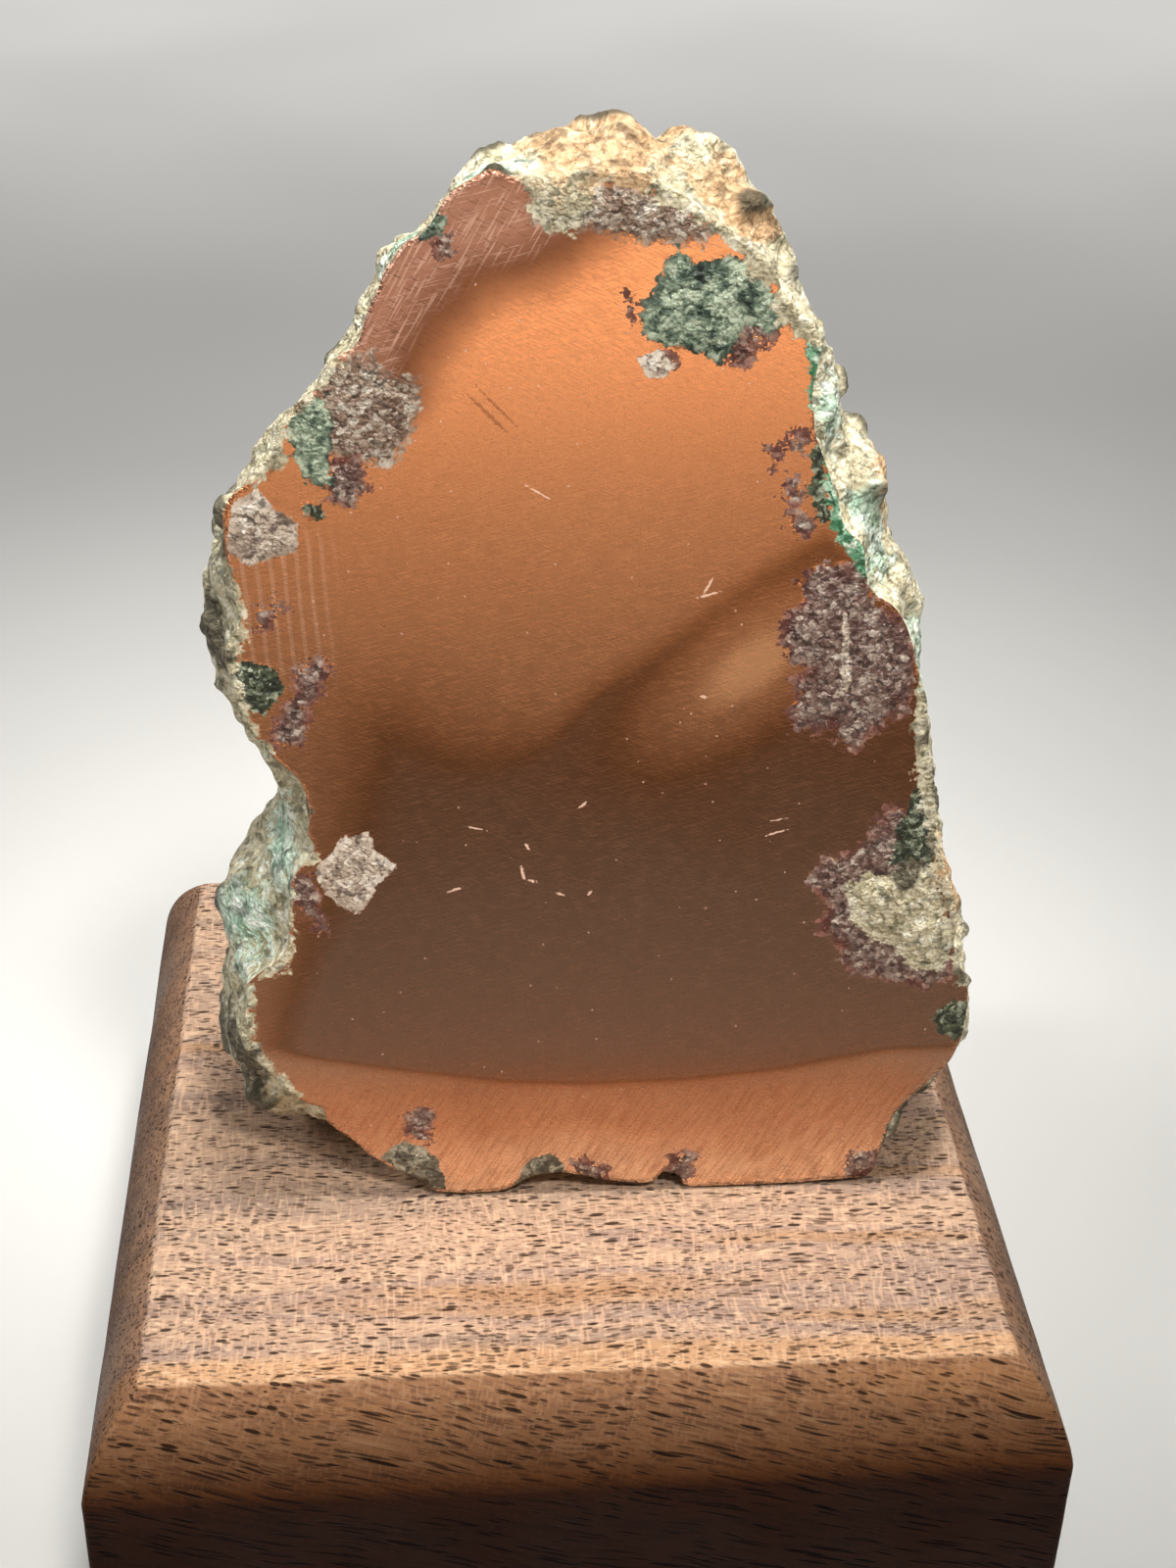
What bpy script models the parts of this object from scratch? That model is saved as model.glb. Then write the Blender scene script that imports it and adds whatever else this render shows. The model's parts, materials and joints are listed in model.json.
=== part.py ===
"""A native copper nugget with one sawn and polished face, standing on a walnut block.

Metres, +Z up. The origin is the centre of the block's underside, and the sawn face looks towards -Y.
"""

import math

import bmesh
import bpy
import numpy as np

MM = 0.001

# The walnut block, in millimetres: a square with a routed upper edge
STAND_SIDE = 76.0
STAND_HEIGHT = 25.0
EDGE_INSET = 4.6
EDGE_DROP = 8.2
EDGE_BULGE = 0.85
EDGE_STEPS = 6
STAND_ARRIS = 0.4

# Where the nugget stands, in millimetres and degrees
REST_GAP = 0.3
FACE_Y = -13.7
FACE_LEAN = 4.5

# The nugget's body, in millimetres
GIRTH_DEPTH = 8.0
THICKNESS_LOW = 30.0
THICKNESS_TOP = 19.0
THINS_FROM = 34.0
THINS_TO = 84.0
ROUND_SIDE = 0.55
ROUND_BACK = 0.9

# The underside is pressed down by this much, up to this height, so that it rests on a flat foot
FOOT_PRESS = 5.0
FOOT_HEIGHT = 14.0
FOOT_DEPTH = 16.0

# Points on the sawn face are (across, up) from the middle of its lower edge
FACE_CENTRE = (2.0, 42.0)

# The rim of the sawn face, clockwise as the viewer sees it, from the lower left
FACE_RIM = [
    (-12.3, 1.4), (-9.0, 0.0), (-4.4, 0.4), (-0.1, 1.7), (3.3, 0.9), (6.6, 0.5), (7.9, 1.5), (10.2, 0.0),
    (15.0, 0.0), (22.5, 0.2), (25.3, 0.8), (26.9, 6.6), (31.0, 11.8), (32.0, 17.0), (30.6, 22.4),
    (30.0, 27.6), (28.2, 33.3), (26.8, 41.5), (24.6, 50.0), (21.4, 53.6), (19.2, 58.6), (16.8, 65.3),
    (16.8, 71.5), (13.8, 76.0), (9.3, 80.2), (3.6, 83.5), (-2.2, 83.6), (-6.3, 83.5), (-10.6, 79.6),
    (-14.4, 74.3), (-17.6, 70.0), (-21.9, 64.0), (-25.0, 59.0), (-24.4, 53.0), (-25.3, 48.0),
    (-23.3, 42.0), (-20.0, 36.0), (-20.2, 31.5), (-22.0, 26.5), (-25.4, 21.5), (-26.0, 15.8),
    (-22.9, 11.2), (-19.7, 8.2), (-16.0, 4.2),
]

# The widest outline of the body, a girth's depth behind the sawn face
GIRTH = [
    (-14.0, 1.2), (-9.0, 0.2), (0.0, 0.6), (10.0, 0.2), (20.0, 0.4), (27.5, 1.6), (32.0, 6.0),
    (34.2, 11.5), (33.4, 18.0), (32.8, 22.5), (31.0, 27.0), (29.8, 33.0), (29.0, 39.5), (27.6, 46.0),
    (25.8, 52.0), (24.0, 57.0), (22.6, 61.5), (19.8, 64.5), (18.8, 69.0), (16.8, 75.0), (13.6, 81.0),
    (10.8, 84.6), (7.8, 86.2), (5.4, 85.2), (2.6, 86.0), (-2.4, 85.6), (-6.8, 83.4), (-10.8, 80.4),
    (-14.8, 75.0), (-18.2, 68.8), (-22.8, 63.6), (-26.0, 57.0), (-27.4, 50.0), (-26.4, 42.5),
    (-23.8, 35.5), (-23.6, 31.0), (-26.0, 25.0), (-27.6, 17.5), (-28.4, 11.0), (-25.4, 5.6), (-20.5, 3.6),
]

# Lumps over the natural skin: (wavelength, height, depth behind the face where they reach it), in millimetres
LUMPS = [(19.0, 3.0, 22.0), (9.0, 1.7, 14.0), (4.6, 0.8, 6.0)]

# How finely the nugget is faceted
AROUND = 108
RINGS = 42
FACE_RINGS = 3


def closed_curve(points, per_span=12):
    """A closed Catmull-Rom curve through the points."""
    p = np.array(points, float)
    before, after, beyond = np.roll(p, 1, 0), np.roll(p, -1, 0), np.roll(p, -2, 0)
    t = (np.arange(per_span) / per_span)[None, :, None]
    p, before, after, beyond = (a[:, None, :] for a in (p, before, after, beyond))
    curve = p + 0.5 * t * (
        (after - before)
        + t * (2 * before - 5 * p + 4 * after - beyond)
        + t * t * (3 * (p - after) + beyond - before)
    )
    return curve.reshape(-1, 2)


def radius_at(points, angle):
    """How far a closed outline lies from the face's centre in each direction."""
    arm = closed_curve(points) - np.array(FACE_CENTRE)
    direction = np.arctan2(arm[:, 1], arm[:, 0])
    order = np.argsort(direction)
    return np.interp(angle, direction[order], np.hypot(*arm.T)[order], period=2 * math.pi)


def ease(x):
    """0 to 1, level at both ends."""
    x = np.clip(x, 0, 1)
    return x * x * (3 - 2 * x)


def smooth_noise(points, wavelength, seed):
    """Gradient noise, about -1 to 1: random slopes at the corners of a lattice, eased between them."""
    side = 32
    slopes = np.random.default_rng(seed).normal(size=(side, side, side, 3))
    slopes /= np.linalg.norm(slopes, axis=3, keepdims=True)
    p = points / wavelength
    cell = np.floor(p).astype(int)
    inside = p - cell
    weight = ease(inside)
    total = np.zeros(len(p))
    for corner in np.ndindex(2, 2, 2):
        slope = slopes[tuple(((cell + corner) % side).T)]
        share = np.prod(np.where(corner, weight, 1 - weight), axis=1)
        total += share * np.sum(slope * (inside - corner), axis=1)
    return 1.6 * total


def meridian(share):
    """Depth and radius shares along a line over the body, from the rim, 0, to the middle of the back, 1.

    The line is a squared-off quarter ellipse, and equal shares are equal lengths of it.
    """
    turn = np.linspace(0, math.pi / 2, 400)
    depth, radius = np.sin(turn) ** ROUND_BACK, np.cos(turn) ** ROUND_SIDE
    step = np.hypot(np.diff(depth) * THICKNESS_LOW, np.diff(radius) * FACE_CENTRE[1])
    length = np.concatenate([[0], np.cumsum(step)])
    at = share * length[-1]
    return np.interp(at, length, depth), np.interp(at, length, radius)


def nugget_skin(angle, share):
    """The bare body: (across, up, deep) for a direction round the face and a share of the way to the back."""
    depth_share, radius_share = meridian(share)
    rim, girth = radius_at(FACE_RIM, angle), radius_at(GIRTH, angle)
    widen = ease(depth_share * THICKNESS_LOW / GIRTH_DEPTH)
    radius = (rim + (girth - rim) * widen) * radius_share
    across = FACE_CENTRE[0] + radius * np.cos(angle)
    up = FACE_CENTRE[1] + radius * np.sin(angle)
    thins = ease((up - THINS_FROM) / (THINS_TO - THINS_FROM))
    deep = depth_share * (THICKNESS_LOW + (THICKNESS_TOP - THICKNESS_LOW) * thins)
    up -= FOOT_PRESS * ease(deep / FOOT_DEPTH) * ease(1 - up / FOOT_HEIGHT)
    return np.stack([across, up, deep], 1)


def sawn_face(angle, share):
    """The flat face: (across, up, 0) for a direction and a share of the way from its centre to its rim."""
    radius = radius_at(FACE_RIM, angle) * share
    across = FACE_CENTRE[0] + radius * np.cos(angle)
    up = FACE_CENTRE[1] + radius * np.sin(angle)
    return np.stack([across, up, np.zeros_like(up)], 1)


def stand_up(points):
    """The place in the row, in millimetres: the face leans back, and the foot clears the block."""
    lean = math.radians(FACE_LEAN)
    across, up, deep = points.T
    y = FACE_Y + up * math.sin(lean) + deep * math.cos(lean)
    z = up * math.cos(lean) - deep * math.sin(lean)
    return np.stack([across, y, STAND_HEIGHT + REST_GAP + np.maximum(z, 0)], 1)


def make_material(name, colour, metallic, roughness):
    material = bpy.data.materials.new(name)
    material.use_nodes = True
    shader = material.node_tree.nodes["Principled BSDF"]
    shader.inputs["Base Color"].default_value = (*colour, 1)
    shader.inputs["Metallic"].default_value = metallic
    shader.inputs["Roughness"].default_value = roughness
    return material


def add_object(name, bm, material, collection):
    mesh = bpy.data.meshes.new(name)
    bm.to_mesh(mesh)
    bm.free()
    mesh.materials.append(material)
    thing = bpy.data.objects.new(name, mesh)
    collection.objects.link(thing)
    return thing


def make_nugget(collection):
    """One solid: a sphere, its front pressed flat into the sawn face and its rest drawn out to the skin."""
    bm = bmesh.new()
    bmesh.ops.create_uvsphere(bm, u_segments=AROUND, v_segments=RINGS, radius=1)
    ball = np.array([v.co for v in bm.verts])
    angle = np.arctan2(ball[:, 1], ball[:, 0])
    ring = np.round(np.arccos(np.clip(ball[:, 2], -1, 1)) / math.pi * RINGS)
    on_face = ring <= FACE_RINGS
    body = np.zeros_like(ball)
    body[on_face] = sawn_face(angle[on_face], ring[on_face] / FACE_RINGS)
    share = (ring[~on_face] - FACE_RINGS) / (RINGS - FACE_RINGS)
    body[~on_face] = nugget_skin(angle[~on_face], share)

    for vert, place in zip(bm.verts, body):
        vert.co = place
    bm.normal_update()
    outward = np.array([v.normal for v in bm.verts])
    if outward[~on_face][:, 2].mean() < 0:
        outward = -outward
    lift = sum(
        height * ease(body[:, 2] / settled) * smooth_noise(body, wavelength, seed)
        for seed, (wavelength, height, settled) in enumerate(LUMPS)
    )
    body = stand_up(body + outward * lift[:, None])
    for vert, place in zip(bm.verts, body * MM):
        vert.co = place
    bmesh.ops.recalc_face_normals(bm, faces=bm.faces)
    copper = make_material("native_copper", (0.72, 0.36, 0.22), 1.0, 0.32)
    nugget = add_object("copper_nugget", bm, copper, collection)
    nugget.data.shade_smooth()
    nugget.data.set_sharp_from_angle(angle=math.radians(40))
    return nugget


def routed_edge():
    """(inset, height) steps up the block's moulded edge, an arc that bulges from its straight chord."""
    chord = math.hypot(EDGE_INSET, EDGE_DROP)
    radius = chord**2 / (8 * EDGE_BULGE) + EDGE_BULGE / 2
    half = math.asin(chord / 2 / radius)
    along = np.array([EDGE_INSET, EDGE_DROP]) / chord
    outward = np.array([-EDGE_DROP, EDGE_INSET]) / chord
    middle = np.array([EDGE_INSET, EDGE_DROP]) / 2
    turns = np.linspace(-half, half, EDGE_STEPS + 1)
    return [
        middle + radius * (math.sin(t) * along + (math.cos(t) - math.cos(half)) * outward) for t in turns
    ]


def make_stand(collection):
    """A walnut block: a cube whose top is inset and raised step by step up the moulding, its edges eased."""
    straight = STAND_HEIGHT - EDGE_DROP
    bm = bmesh.new()
    bmesh.ops.create_cube(bm, size=1)
    bmesh.ops.scale(bm, vec=np.array([STAND_SIDE, STAND_SIDE, straight]) * MM, verts=bm.verts)
    bmesh.ops.translate(bm, vec=(0, 0, straight / 2 * MM), verts=bm.verts)
    bm.normal_update()
    top = max(bm.faces, key=lambda face: face.normal.z)
    steps = np.diff(routed_edge(), axis=0) * MM
    for inset, rise in steps:
        bmesh.ops.inset_individual(bm, faces=[top], thickness=inset, depth=rise, use_even_offset=True)
    walnut = make_material("oiled_walnut", (0.23, 0.12, 0.065), 0.0, 0.55)
    stand = add_object("walnut_stand", bm, walnut, collection)
    bevel = stand.modifiers.new("eased arrises", "BEVEL")
    bevel.width = STAND_ARRIS * MM
    bevel.segments = 2
    bevel.limit_method = "ANGLE"
    bevel.angle_limit = math.radians(25)
    return stand


def main():
    for thing in list(bpy.data.objects):
        bpy.data.objects.remove(thing)
    collection = bpy.data.collections.new("native_copper_nugget")
    bpy.context.scene.collection.children.link(collection)
    make_stand(collection)
    make_nugget(collection)


main()
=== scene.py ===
"""A native copper nugget with one sawn and polished face, standing on its walnut block."""

import json
import math

import bpy
import numpy as np
from mathutils import Matrix

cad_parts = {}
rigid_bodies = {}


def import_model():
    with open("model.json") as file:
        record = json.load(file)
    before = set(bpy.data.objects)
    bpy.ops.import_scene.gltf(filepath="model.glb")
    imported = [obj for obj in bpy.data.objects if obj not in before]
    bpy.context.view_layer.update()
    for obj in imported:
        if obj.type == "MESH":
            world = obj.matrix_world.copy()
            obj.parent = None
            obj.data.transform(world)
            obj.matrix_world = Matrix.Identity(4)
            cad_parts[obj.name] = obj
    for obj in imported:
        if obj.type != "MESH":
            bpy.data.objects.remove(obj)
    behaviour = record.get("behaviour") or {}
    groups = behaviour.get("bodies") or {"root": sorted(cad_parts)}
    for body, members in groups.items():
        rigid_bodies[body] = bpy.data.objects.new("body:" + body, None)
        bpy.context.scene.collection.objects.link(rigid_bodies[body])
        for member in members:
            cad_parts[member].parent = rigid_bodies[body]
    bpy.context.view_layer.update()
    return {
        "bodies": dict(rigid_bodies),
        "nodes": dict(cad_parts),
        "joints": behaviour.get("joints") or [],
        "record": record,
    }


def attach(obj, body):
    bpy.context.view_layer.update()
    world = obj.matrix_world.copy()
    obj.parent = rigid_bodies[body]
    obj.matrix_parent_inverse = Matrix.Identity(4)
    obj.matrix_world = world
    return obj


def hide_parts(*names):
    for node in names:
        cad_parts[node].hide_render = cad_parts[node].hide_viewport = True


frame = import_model()


# The walnut block. A square of oiled walnut, sawn so that its fibres dip to the right through the top,
# which is why the pores are short dashes there and long streaks on the front. Its upper edge is routed
# to a bulging moulding that leaves a crisp arris round the plateau.
MM = 0.001
STAND_SIDE = 76.0
STAND_HEIGHT = 25.0
EDGE_INSET = 4.6
EDGE_DROP = 8.2
EDGE_BULGE = 0.85
CORNER_ROUND = 0.5
FOOT_ARRIS = 0.4
FIBRE_DIP = 17.0
RING_LEAN = 8.0
FRONT_BAND = 29.0
DARKENS_OVER = 12.0


def ease(x):
    """0 to 1 as x goes from 0 to 1, level at both ends."""
    x = np.clip(x, 0, 1)
    return x * x * (3 - 2 * x)


def lattice(seed, side=32):
    """A block of random three-part values, repeated through space by the noises that read it."""
    return np.random.default_rng(seed).normal(size=(side, side, side, 3))


def smooth_noise(points, wavelength, seed):
    """Gradient noise, about -1 to 1: random slopes at the corners of a lattice, eased between them."""
    slopes = lattice(seed)
    slopes /= np.linalg.norm(slopes, axis=3, keepdims=True)
    p = points / wavelength
    cell = np.floor(p).astype(int)
    inside = p - cell
    weight = ease(inside)
    total = np.zeros(len(p))
    for corner in np.ndindex(2, 2, 2):
        slope = slopes[tuple(((cell + corner) % len(slopes)).T)]
        share = np.prod(np.where(corner, weight, 1 - weight), axis=1)
        total += share * np.sum(slope * (inside - corner), axis=1)
    return 1.6 * total


def mesh_piece(name, points, quads):
    """One smooth object from an array of places in millimetres and an array of four-cornered faces."""
    mesh = bpy.data.meshes.new(name)
    mesh.vertices.add(len(points))
    mesh.vertices.foreach_set("co", (points * MM).ravel())
    mesh.loops.add(quads.size)
    mesh.loops.foreach_set("vertex_index", quads.ravel())
    mesh.polygons.add(len(quads))
    mesh.polygons.foreach_set("loop_start", np.arange(0, quads.size, 4))
    mesh.polygons.foreach_set("use_smooth", np.ones(len(quads), bool))
    mesh.update(calc_edges=True)
    mesh.validate()
    piece = bpy.data.objects.new(name, mesh)
    bpy.context.scene.collection.objects.link(piece)
    return piece


def disc_grid(half):
    """A square grid read as nested rings, for a patch whose edge has 8 * half stations.

    A grid point at (i, j) from the middle is on ring max(|i|, |j|). Its share is that ring over half, and
    its station is how far round the ring it is, stretched to the stations of the edge. Also returns the
    quads, and the grid's own indices of the edge in the order of the stations.
    """
    i, j = np.meshgrid(np.arange(-half, half + 1), np.arange(-half, half + 1), indexing="ij")
    ring = np.maximum(abs(i), abs(j))
    safe = np.maximum(ring, 1)
    turn = np.select(
        [(j == -ring) & (i < ring), (i == ring) & (j < ring), (j == ring) & (i > -ring)],
        [i / safe, 2 + j / safe, 4 - i / safe],
        6 - j / safe,
    )
    station = ((turn + 1) * half) % (8 * half)
    number = np.arange(ring.size).reshape(ring.shape)
    quads = np.stack([number[:-1, :-1], number[1:, :-1], number[1:, 1:], number[:-1, 1:]], 2).reshape(-1, 4)
    edge = number[ring == half]
    edge = edge[np.argsort(station[ring == half])]
    return ring.ravel() / half, station.ravel(), quads, edge


def at_station(values, station):
    """A closed list of values read between its entries."""
    count = len(values)
    low = np.floor(station).astype(int)
    part = (station - low).reshape(-1, *[1] * (values.ndim - 1))
    return values[low % count] * (1 - part) + values[(low + 1) % count] * part


def ring_quads(first, second):
    """Quads between two closed rings of vertex numbers."""
    return np.stack([first, np.roll(first, -1), np.roll(second, -1), second], 1)


def square_ring(half_side, half):
    """A square of small round corners as 8 * half stations, crowded towards the corners.

    A station on the plain square is pulled in to the inner square that the corner arcs are drawn round,
    then pushed out from it by the corner's radius.
    """
    along = half_side * np.sin(np.linspace(-1, 1, 2 * half, endpoint=False) * math.pi / 2)
    level = np.full(2 * half, half_side)
    sides = [(along, -level), (level, along), (-along, level), (-level, -along)]
    plain = np.concatenate([np.stack(side, 1) for side in sides])
    inner = np.clip(plain, CORNER_ROUND - half_side, half_side - CORNER_ROUND)
    arm = plain - inner
    return inner + CORNER_ROUND * arm / np.linalg.norm(arm, axis=1, keepdims=True)


def block_profile():
    """(inset, height) from the foot's eased arris, up the side and over the moulding to the plateau.

    The moulding is an arc through both ends of a chord, which it leaves by the bulge at the middle.
    """
    turn = np.linspace(0, math.pi / 2, 5)
    foot = FOOT_ARRIS * np.stack([1 - np.sin(turn), 1 - np.cos(turn)], 1)
    rise = np.linspace(FOOT_ARRIS, STAND_HEIGHT - EDGE_DROP, 16)[1:-1]
    side = np.stack([np.zeros_like(rise), rise], 1)
    chord = math.hypot(EDGE_INSET, EDGE_DROP)
    radius = chord**2 / (8 * EDGE_BULGE) + EDGE_BULGE / 2
    half = math.asin(chord / 2 / radius)
    turn = np.linspace(-half, half, 26)[:-1, None]
    along = np.array([EDGE_INSET, EDGE_DROP]) / chord
    outward = np.array([-EDGE_DROP, EDGE_INSET]) / chord
    middle = np.array([EDGE_INSET / 2, STAND_HEIGHT - EDGE_DROP / 2])
    moulding = middle + radius * (np.sin(turn) * along + (np.cos(turn) - math.cos(half)) * outward)
    crown = np.array([[EDGE_INSET - 0.1, STAND_HEIGHT - 0.06], [EDGE_INSET + 0.05, STAND_HEIGHT]])
    return np.concatenate([foot, side, moulding, crown, [[EDGE_INSET + 0.4, STAND_HEIGHT]]])


def block_surface(half=40):
    """The block: a ring for each step of the profile, and a patch of nested rings at each end."""
    share, station, patch, edge = disc_grid(half)
    rings = [
        np.column_stack([square_ring(STAND_SIDE / 2 - inset, half), np.full(8 * half, height)])
        for inset, height in block_profile()
    ]
    foot, plateau = (
        np.array([0, 0, ring[0, 2]]) + share[:, None] * (at_station(ring, station) - [0, 0, ring[0, 2]])
        for ring in (rings[0], rings[-1])
    )
    points = np.concatenate([foot, plateau, *rings[1:-1]])
    numbers = [edge]
    numbers += [2 * len(foot) + np.arange(8 * half) + 8 * half * n for n in range(len(rings) - 2)]
    numbers += [len(foot) + edge]
    walls = [ring_quads(a, b) for a, b in zip(numbers, numbers[1:])]
    return points, np.concatenate([patch[:, ::-1], patch + len(foot), *walls])


class Recipe:
    """A material's nodes. Each call adds one node and returns its socket, to be fed to the next."""

    def __init__(self, name):
        self.material = bpy.data.materials.new(name)
        self.material.use_nodes = True
        self.tree = self.material.node_tree
        self.shader = self.tree.nodes["Principled BSDF"]

    def feed(self, socket, value):
        """Joins another node's socket to this one, or sets a plain value."""
        if isinstance(value, bpy.types.NodeSocket):
            self.tree.links.new(value, socket)
        else:
            socket.default_value = value

    def add(self, kind, inputs, out=0, **settings):
        node = self.tree.nodes.new("ShaderNode" + kind)
        for key, value in settings.items():
            setattr(node, key, value)
        for key, value in inputs.items():
            self.feed(node.inputs[key], value)
        return node.outputs[out]

    def attribute(self, name, out="Fac"):
        """A value that the mesh carries for each point."""
        return self.add("Attribute", {}, out=out, attribute_name=name)

    def place_mm(self):
        """Where a point is on the object, in millimetres."""
        place = self.add("TexCoord", {}, out="Object")
        return self.add("VectorMath", {0: place, 1: (1000, 1000, 1000)}, operation="MULTIPLY")

    def turned(self, place, turn, size):
        """The place in a frame turned by these degrees and then shrunk by these lengths."""
        turn = tuple(math.radians(t) for t in turn)
        return self.add("Mapping", {"Vector": place, "Rotation": turn, "Scale": size}, vector_type="TEXTURE")

    def noise(self, place, size=1.0, detail=3.0, rough=0.55):
        """Soft noise about 0.5, its lumps this long."""
        inputs = {"Vector": place, "Scale": 1 / size, "Detail": detail, "Roughness": rough}
        return self.add("TexNoise", inputs, out="Fac")

    def cells(self, place, size=1.0):
        """How far from the middle of the nearest of many cells of this size."""
        return self.add("TexVoronoi", {"Vector": place, "Scale": 1 / size})

    def pushed(self, place, size, reach):
        """The place pushed about by soft noise of this size, by up to about this many millimetres."""
        push = self.add("TexNoise", {"Vector": place, "Scale": 1 / size, "Detail": 1.0}, out="Color")
        push = self.add("VectorMath", {0: push, 1: (0.5, 0.5, 0.5)}, operation="SUBTRACT")
        push = self.add("VectorMath", {0: push, "Scale": 3 * reach}, operation="SCALE")
        return self.add("VectorMath", {0: place, 1: push}, operation="ADD")

    def axis(self, place, number):
        """One part of a place: 0 across, 1 up or back, 2 the last."""
        return self.add("SeparateXYZ", {0: place}, out=number)

    def sum(self, how, *values):
        """One step of arithmetic."""
        return self.add("Math", dict(enumerate(values)), operation=how)

    def times(self, a, b):
        return self.sum("MULTIPLY", a, b)

    def times_plus(self, a, b, c):
        return self.sum("MULTIPLY_ADD", a, b, c)

    def most(self, a, b):
        return self.sum("MAXIMUM", a, b)

    def step(self, value, low, high, to_low=0.0, to_high=1.0):
        """Eased from one value at low to the other at high, and level beyond."""
        inputs = {"Value": value, 1: low, 2: high, 3: to_low, 4: to_high}
        return self.add("MapRange", inputs, interpolation_type="SMOOTHSTEP")

    def blend(self, share, a, b, how="MIX"):
        """Colour a turned into b, which may be a screen colour, by this share."""
        b = tint(*b) if isinstance(b, tuple) else b
        return self.add("Mix", {0: share, 6: a, 7: b}, out=2, data_type="RGBA", blend_type=how)

    def ramp(self, value, *stops):
        """A colour for each value between the (value, screen colour) stops."""
        socket = self.add("ValToRGB", {0: value})
        band = socket.node.color_ramp
        while len(band.elements) < len(stops):
            band.elements.new(0.5)
        for element, (at, colour) in zip(band.elements, stops):
            element.position = at
            element.color = tint(*colour)
        return socket

    def relief(self, height, depth_mm, under=None):
        """A bump of this depth from a height of 0 to 1, on top of another bump."""
        inputs = {"Height": height, "Distance": depth_mm * MM, "Strength": 1.0}
        if under:
            inputs["Normal"] = under
        return self.add("Bump", inputs)

    def finish(self, **sockets):
        for name, value in sockets.items():
            self.feed(self.shader.inputs[name.replace("_", " ")], value)
        return self.material


def tint(red, green, blue):
    """A colour as a screen shows it, 0 to 255, turned into light."""
    screen = np.array([red, green, blue]) / 255
    light = np.where(screen <= 0.04045, screen / 12.92, ((screen + 0.055) / 1.055) ** 2.4)
    return (*light, 1.0)


def walnut_finish():
    """Oiled walnut as a solid: every pattern is a block of wood that the surface cuts through."""
    wood = Recipe("oiled_walnut")
    still = wood.place_mm()
    place = wood.pushed(still, 11.0, 0.7)

    def along_fibres(length, apart, wide=None):
        """The place measured in fibres of this length, this far apart."""
        return wood.turned(place, (RING_LEAN, FIBRE_DIP, 0), (length, wide or apart, apart))

    rings = wood.noise(along_fibres(90, 34, 6.5), detail=2.5, rough=0.6)
    colour = wood.ramp(
        rings,
        (0.30, (132, 112, 102)),
        (0.42, (166, 140, 120)),
        (0.50, (188, 156, 130)),
        (0.57, (156, 132, 118)),
        (0.65, (188, 152, 120)),
        (0.76, (198, 152, 108)),
    )
    back = wood.axis(place, 1)
    golden = wood.times_plus(rings, 4.0, back)
    golden = wood.step(golden, 0.6 - FRONT_BAND, -1.0 - FRONT_BAND, 0.0, 0.5)
    colour = wood.blend(golden, colour, (206, 154, 100))
    fibres = wood.noise(along_fibres(6.0, 0.24), detail=2, rough=0.65)
    colour = wood.blend(wood.step(fibres, 0.44, 0.68, 0.0, 0.7), colour, (110, 82, 68))
    pale = wood.noise(along_fibres(5.0, 0.30), detail=1)
    colour = wood.blend(wood.step(pale, 0.56, 0.72, 0.0, 0.5), colour, (222, 192, 158))
    rays = wood.noise(wood.turned(place, (RING_LEAN, FIBRE_DIP, 0), (0.26, 1.7, 0.5)), detail=0)
    colour = wood.blend(wood.step(rays, 0.54, 0.72, 0.0, 0.45), colour, (212, 174, 142))

    patchy = wood.noise(place, 5.0, detail=1)
    coarse = wood.cells(along_fibres(9.0, 0.72))
    coarse = wood.step(wood.sum("SUBTRACT", wood.step(patchy, 0.35, 0.65, 0.12, 0.22), coarse), -0.05, 0.04)
    fine = wood.cells(along_fibres(6.0, 0.38))
    fine = wood.sum("SUBTRACT", wood.step(patchy, 0.65, 0.35, 0.21, 0.31), fine)
    fine = wood.step(fine, -0.08, 0.06, 0.0, 0.75)
    pores = wood.most(coarse, fine)
    colour = wood.blend(wood.times(pores, 0.92), colour, (52, 34, 23))

    # Painted shade: the colour is multiplied darker down the sides and front, by depth below the top, with a
    # little of the rings' tone mixed in.
    below = wood.times_plus(wood.axis(still, 2), -1 / DARKENS_OVER, STAND_HEIGHT / DARKENS_OVER)
    painted_side_shade = wood.ramp(
        wood.times_plus(wood.sum("SUBTRACT", rings, 0.5), 0.12, below),
        (0.012, (255, 255, 255)),
        (0.030, (200, 186, 176)),
        (0.25, (164, 150, 138)),
        (0.60, (112, 86, 62)),
        (0.70, (74, 48, 28)),
        (1.00, (60, 36, 18)),
    )
    colour = wood.blend(1.0, colour, painted_side_shade, "MULTIPLY")
    dull = wood.step(wood.noise(place, 9.0, detail=0), 0.3, 0.7, 0.42, 0.58)
    rough = wood.sum("ADD", dull, wood.times(pores, 0.25))
    bump = wood.relief(wood.sum("SUBTRACT", 1.0, pores), 0.12)
    return wood.finish(Base_Color=colour, Roughness=rough, Normal=bump, Specular_IOR_Level=0.08)


block_points, block_quads = block_surface()
hand_sanded = 0.07 * smooth_noise(block_points, 13.0, 20) + 0.03 * smooth_noise(block_points, 4.0, 21)
above_foot = ease(block_points[:, 2] / 2)
outward = block_points[:, :2] / (STAND_SIDE / 2)
block_points[:, :2] -= outward * (0.1 + hand_sanded * above_foot)[:, None]
block_points[:, 2] -= abs(hand_sanded) * above_foot
block = mesh_piece("walnut_block", block_points, block_quads)
block.data.materials.append(walnut_finish())
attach(block, "root")
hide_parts("walnut_stand")


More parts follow.
